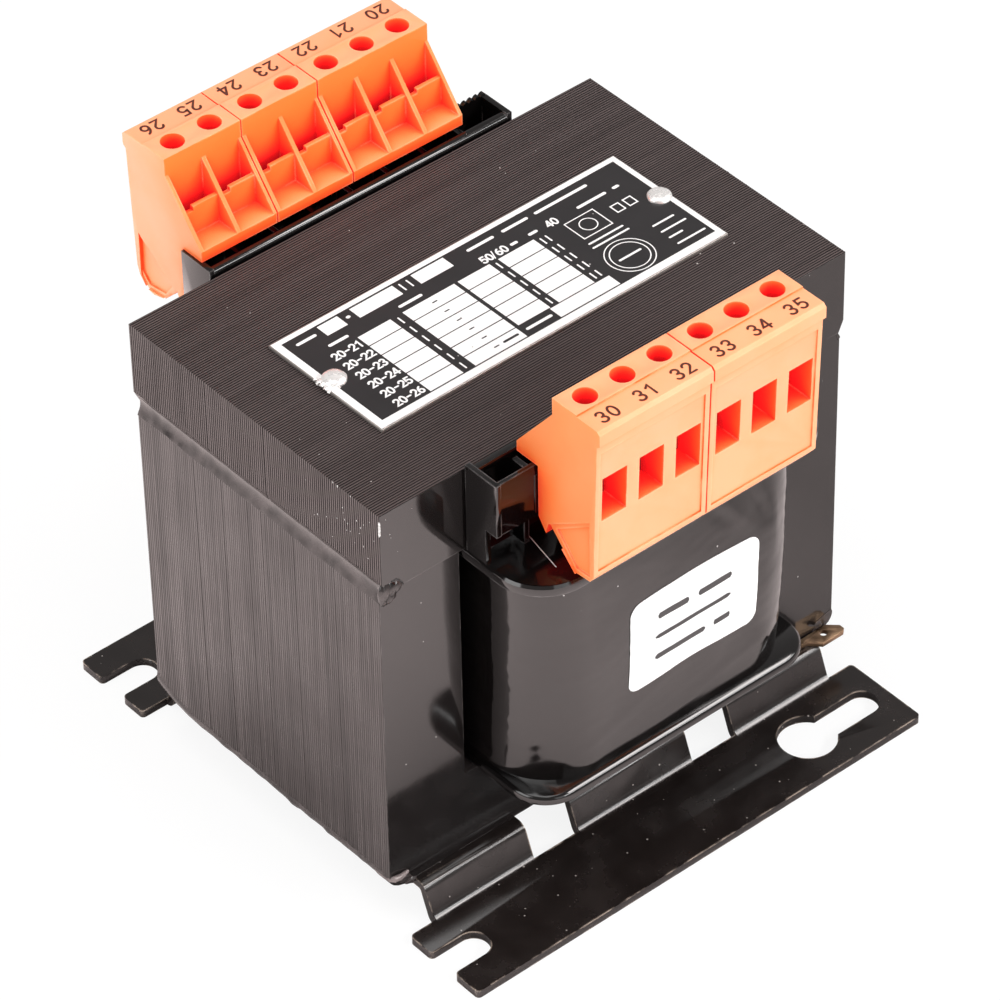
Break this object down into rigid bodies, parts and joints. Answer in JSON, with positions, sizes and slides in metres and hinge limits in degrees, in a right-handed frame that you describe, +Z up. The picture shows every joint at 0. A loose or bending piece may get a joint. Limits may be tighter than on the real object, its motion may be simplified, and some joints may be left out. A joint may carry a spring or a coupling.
{
  "type": "laminated chassis transformer",
  "caption": "Open-frame laminated chassis transformer with a welded EI core, black bobbin and taped coil, orange screw terminal rows and two slotted sheet metal feet.",
  "frame": {"origin": "centre of the plane that the two feet stand on, under the middle of the core", "axes": "+X along the feet and along the terminal rows, +Y from the labelled front of the coil to its back, +Z up"},
  "size_m": [0.0966, 0.106, 0.1044],
  "materials": {
    "core_paint": "semi-gloss dipped varnish over stacked sheets",
    "weld_metal": "rough weld bead under varnish",
    "foot_enamel": "glossy black enamel",
    "bobbin_plastic": "glossy black moulding",
    "winding_copper": "enamelled copper wire",
    "insulation_film": "translucent insulation film",
    "wrap_tape": "varnished black tape",
    "terminal_orange": "satin orange moulding",
    "clamp_steel": "zinc plated",
    "plate_foil": "printed foil plate",
    "rivet_metal": "bright",
    "label_paper": "matt white paper",
    "tab_bronze": "dull bronze"
  },
  "bodies": {
    "root": {"core_e_stack": "core_paint", "core_i_stack": "core_paint", "joint_weld_left": "weld_metal", "joint_weld_right": "weld_metal", "foot_welds": "weld_metal", "front_foot": "foot_enamel", "back_foot": "foot_enamel", "bobbin": "bobbin_plastic", "primary_winding": "winding_copper", "winding_insulation": "insulation_film", "secondary_winding": "winding_copper", "outer_wrap": "wrap_tape", "test_label": "label_paper", "terminal_front_left": "terminal_orange", "terminal_front_right": "terminal_orange", "terminal_back_left": "terminal_orange", "terminal_back_middle": "terminal_orange", "terminal_back_right": "terminal_orange", "clamp_cages": "clamp_steel", "clamp_screws": "clamp_steel", "rating_plate": "plate_foil", "plate_rivets": "rivet_metal", "earth_tab": "tab_bronze"}
  },
  "joints": []
}
